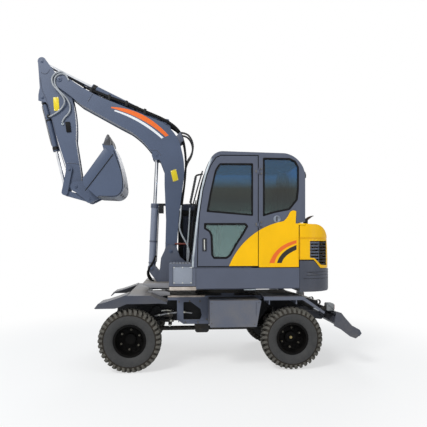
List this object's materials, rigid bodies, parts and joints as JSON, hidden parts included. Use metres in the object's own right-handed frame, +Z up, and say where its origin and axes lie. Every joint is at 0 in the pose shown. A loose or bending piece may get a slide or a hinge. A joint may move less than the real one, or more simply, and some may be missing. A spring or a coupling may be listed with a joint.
{
  "type": "wheeled excavator",
  "caption": "Compact wheeled excavator: slewing cab and raised boom with arm and bucket on a two-axle steered carrier with a rear dozer blade.",
  "frame": {"origin": "on the ground at the middle of the machine's length and width, as it stands with the boom raised over the front axle", "axes": "+Z up, -X forward towards the boom, -Y the left side with the cab door"},
  "size_m": [4.67, 1.9, 4.5608],
  "materials": {
    "slate_paint": "semi-gloss slate blue-grey paint",
    "yellow_paint": "glossy yellow paint",
    "dark_paint": "satin near-black paint",
    "cast_parts": "painted casting",
    "machined_steel": "machined and oiled",
    "chromed_rod": "hard chrome",
    "tyre": "worn tyre rubber with dried mud",
    "rim_paint": "satin black paint",
    "window_glass": "tinted safety glass",
    "black_plastic": "moulded plastic",
    "seat_cloth": "woven cloth"
  },
  "bodies": {
    "chassis": {"chassis_frame": "dark_paint", "side_boxes": "slate_paint", "front_fenders": "slate_paint", "rear_fenders": "slate_paint", "slew_ring": "machined_steel", "front_axle": "cast_parts", "rear_axle": "cast_parts", "driveline": "cast_parts", "tie_down_eyes": "dark_paint"},
    "knuckle_left": {"knuckle_left": "cast_parts"},
    "knuckle_right": {"knuckle_right": "cast_parts"},
    "tie_rod": {"tie_rod": "machined_steel"},
    "wheel_front_left": {"wheel_front_left": "rim_paint", "tyre_front_left": "tyre"},
    "wheel_front_right": {"wheel_front_right": "rim_paint", "tyre_front_right": "tyre"},
    "wheel_rear_left": {"wheel_rear_left": "rim_paint", "tyre_rear_left": "tyre"},
    "wheel_rear_right": {"wheel_rear_right": "rim_paint", "tyre_rear_right": "tyre"},
    "blade": {"dozer_blade": "slate_paint"},
    "blade_barrels": {"blade_barrels": "dark_paint"},
    "blade_rods": {"blade_rods": "chromed_rod"},
    "upper": {"upper_frame": "dark_paint", "boom_bracket": "slate_paint", "skirts": "slate_paint", "front_steps": "slate_paint", "counterweight": "slate_paint", "engine_block": "cast_parts", "engine_cowl": "yellow_paint", "cab_frame": "slate_paint", "cab_glass": "window_glass", "seat": "seat_cloth", "controls": "black_plastic", "side_panel": "yellow_paint", "tank_cover": "slate_paint", "pump_cover": "yellow_paint", "grab_rail": "dark_paint", "work_lamp": "black_plastic"},
    "hood": {"hood": "yellow_paint", "grilles": "black_plastic", "exhaust": "machined_steel"},
    "door": {"door": "slate_paint", "door_glass": "window_glass", "door_panel": "yellow_paint"},
    "boom": {"boom": "slate_paint"},
    "arm": {"arm": "slate_paint"},
    "bucket": {"bucket": "slate_paint"},
    "side_links": {"side_links": "slate_paint"},
    "bucket_link": {"bucket_link": "slate_paint"},
    "boom_barrel": {"boom_barrel": "slate_paint"},
    "boom_rod": {"boom_rod": "chromed_rod"},
    "arm_barrel": {"arm_barrel": "slate_paint"},
    "arm_rod": {"arm_rod": "chromed_rod"},
    "bucket_barrel": {"bucket_barrel": "slate_paint"},
    "bucket_rod": {"bucket_rod": "chromed_rod"}
  },
  "joints": [
    {"name": "steer_left", "type": "hinge", "parent": "chassis", "child": "knuckle_left", "pos_m": [-0.88, -0.61, 0.43], "axis": [0, 0, 1], "range_deg": [-30, 30]},
    {"name": "steer_right", "type": "hinge", "parent": "chassis", "child": "knuckle_right", "pos_m": [-0.88, 0.61, 0.43], "axis": [0, 0, 1], "range_deg": [-30, 30]},
    {"name": "tie_rod_shift", "type": "slide", "parent": "chassis", "child": "tie_rod", "axis": [0, 1, 0], "range_m": [-0.081, 0.081]},
    {"name": "wheel_front_left_spin", "type": "hinge", "parent": "knuckle_left", "child": "wheel_front_left", "pos_m": [-0.88, -0.8325, 0.43], "axis": [0, 1, 0], "continuous": true},
    {"name": "wheel_front_right_spin", "type": "hinge", "parent": "knuckle_right", "child": "wheel_front_right", "pos_m": [-0.88, 0.8325, 0.43], "axis": [0, 1, 0], "continuous": true},
    {"name": "wheel_rear_left_spin", "type": "hinge", "parent": "chassis", "child": "wheel_rear_left", "pos_m": [1.354, -0.8325, 0.43], "axis": [0, 1, 0], "continuous": true},
    {"name": "wheel_rear_right_spin", "type": "hinge", "parent": "chassis", "child": "wheel_rear_right", "pos_m": [1.354, 0.8325, 0.43], "axis": [0, 1, 0], "continuous": true},
    {"name": "blade_lift", "type": "hinge", "parent": "chassis", "child": "blade", "pos_m": [1.3, 0, 0.72], "axis": [0, 1, 0], "range_deg": [0, 30.5]},
    {"name": "blade_barrel_swing", "type": "hinge", "parent": "chassis", "child": "blade_barrels", "pos_m": [1.5, 0, 0.925], "axis": [0, 1, 0], "range_deg": [0, 31.58]},
    {"name": "blade_rod_slide", "type": "slide", "parent": "blade_barrels", "child": "blade_rods", "axis": [0.9073, 0, -0.4205], "range_m": [0, 0.15066]},
    {"name": "slew", "type": "hinge", "parent": "chassis", "child": "upper", "pos_m": [0.5, 0, 1.062], "axis": [0, 0, 1], "continuous": true},
    {"name": "hood_lift", "type": "hinge", "parent": "upper", "child": "hood", "pos_m": [1.538, 0, 2.047], "axis": [0, -1, 0], "range_deg": [0, 50]},
    {"name": "door_swing", "type": "hinge", "parent": "upper", "child": "door", "pos_m": [0.878, -0.942, 2.18], "axis": [0, 0, 1], "range_deg": [0, 100]},
    {"name": "boom_lower", "type": "hinge", "parent": "upper", "child": "boom", "pos_m": [-0.339, 0, 1.631], "axis": [0, -1, 0], "range_deg": [0, 75]},
    {"name": "arm_out", "type": "hinge", "parent": "boom", "child": "arm", "pos_m": [-2.006, 0, 4.216], "axis": [0, 1, 0], "range_deg": [0, 120]},
    {"name": "bucket_open", "type": "hinge", "parent": "arm", "child": "bucket", "pos_m": [-1.768, 0, 2.606], "axis": [0, 1, 0], "range_deg": [0, 150]},
    {"name": "boom_barrel_swing", "type": "hinge", "parent": "upper", "child": "boom_barrel", "pos_m": [-0.633, 0, 1.367], "axis": [0, -1, 0], "range_deg": [0, 72.47]},
    {"name": "boom_rod_slide", "type": "slide", "parent": "boom_barrel", "child": "boom_rod", "axis": [0.0445, 0, 0.999], "range_m": [-0.47711, 0]},
    {"name": "arm_barrel_swing", "type": "hinge", "parent": "boom", "child": "arm_barrel", "pos_m": [-0.417, 0, 3.604], "axis": [0, 1, 0], "range_deg": [0, 4.69]},
    {"name": "arm_rod_slide", "type": "slide", "parent": "arm_barrel", "child": "arm_rod", "axis": [-0.9013, 0, 0.4332], "range_m": [-0.66813, 0]},
    {"name": "bucket_barrel_swing", "type": "hinge", "parent": "arm", "child": "bucket_barrel", "pos_m": [-2.271, 0, 3.956], "axis": [0, 1, 0], "range_deg": [0, 8.39]},
    {"name": "bucket_rod_slide", "type": "slide", "parent": "bucket_barrel", "child": "bucket_rod", "axis": [0.2283, 0, -0.9736], "range_m": [-0.52168, 0]},
    {"name": "side_links_swing", "type": "hinge", "parent": "arm", "child": "side_links", "pos_m": [-1.867, 0, 2.869], "axis": [0, 1, 0], "range_deg": [0, 102.33]},
    {"name": "bucket_link_swing", "type": "hinge", "parent": "bucket", "child": "bucket_link", "pos_m": [-1.566, 0, 2.426], "axis": [0, 1, 0], "range_deg": [-99.4, 0]}
  ],
  "couplings": [
    {"joint": "steer_right", "follows": "steer_left", "ratio": 1},
    {"joint": "tie_rod_shift", "follows": "steer_left", "m_per_rad": -0.15279},
    {"joint": "blade_barrel_swing", "follows": "blade_lift", "ratio": 1.0333},
    {"joint": "blade_rod_slide", "follows": "blade_lift", "m_per_rad": 0.28246},
    {"joint": "boom_barrel_swing", "follows": "boom_lower", "ratio": 0.96439},
    {"joint": "boom_rod_slide", "follows": "boom_lower", "m_per_rad": -0.36376},
    {"joint": "arm_barrel_swing", "follows": "arm_out", "ratio": 0.03897},
    {"joint": "arm_rod_slide", "follows": "arm_out", "m_per_rad": -0.31837},
    {"joint": "bucket_barrel_swing", "follows": "bucket_open", "ratio": 0.05581},
    {"joint": "bucket_rod_slide", "follows": "bucket_open", "m_per_rad": -0.19887},
    {"joint": "side_links_swing", "follows": "bucket_open", "ratio": 0.68081},
    {"joint": "bucket_link_swing", "follows": "bucket_open", "ratio": -0.66136}
  ]
}
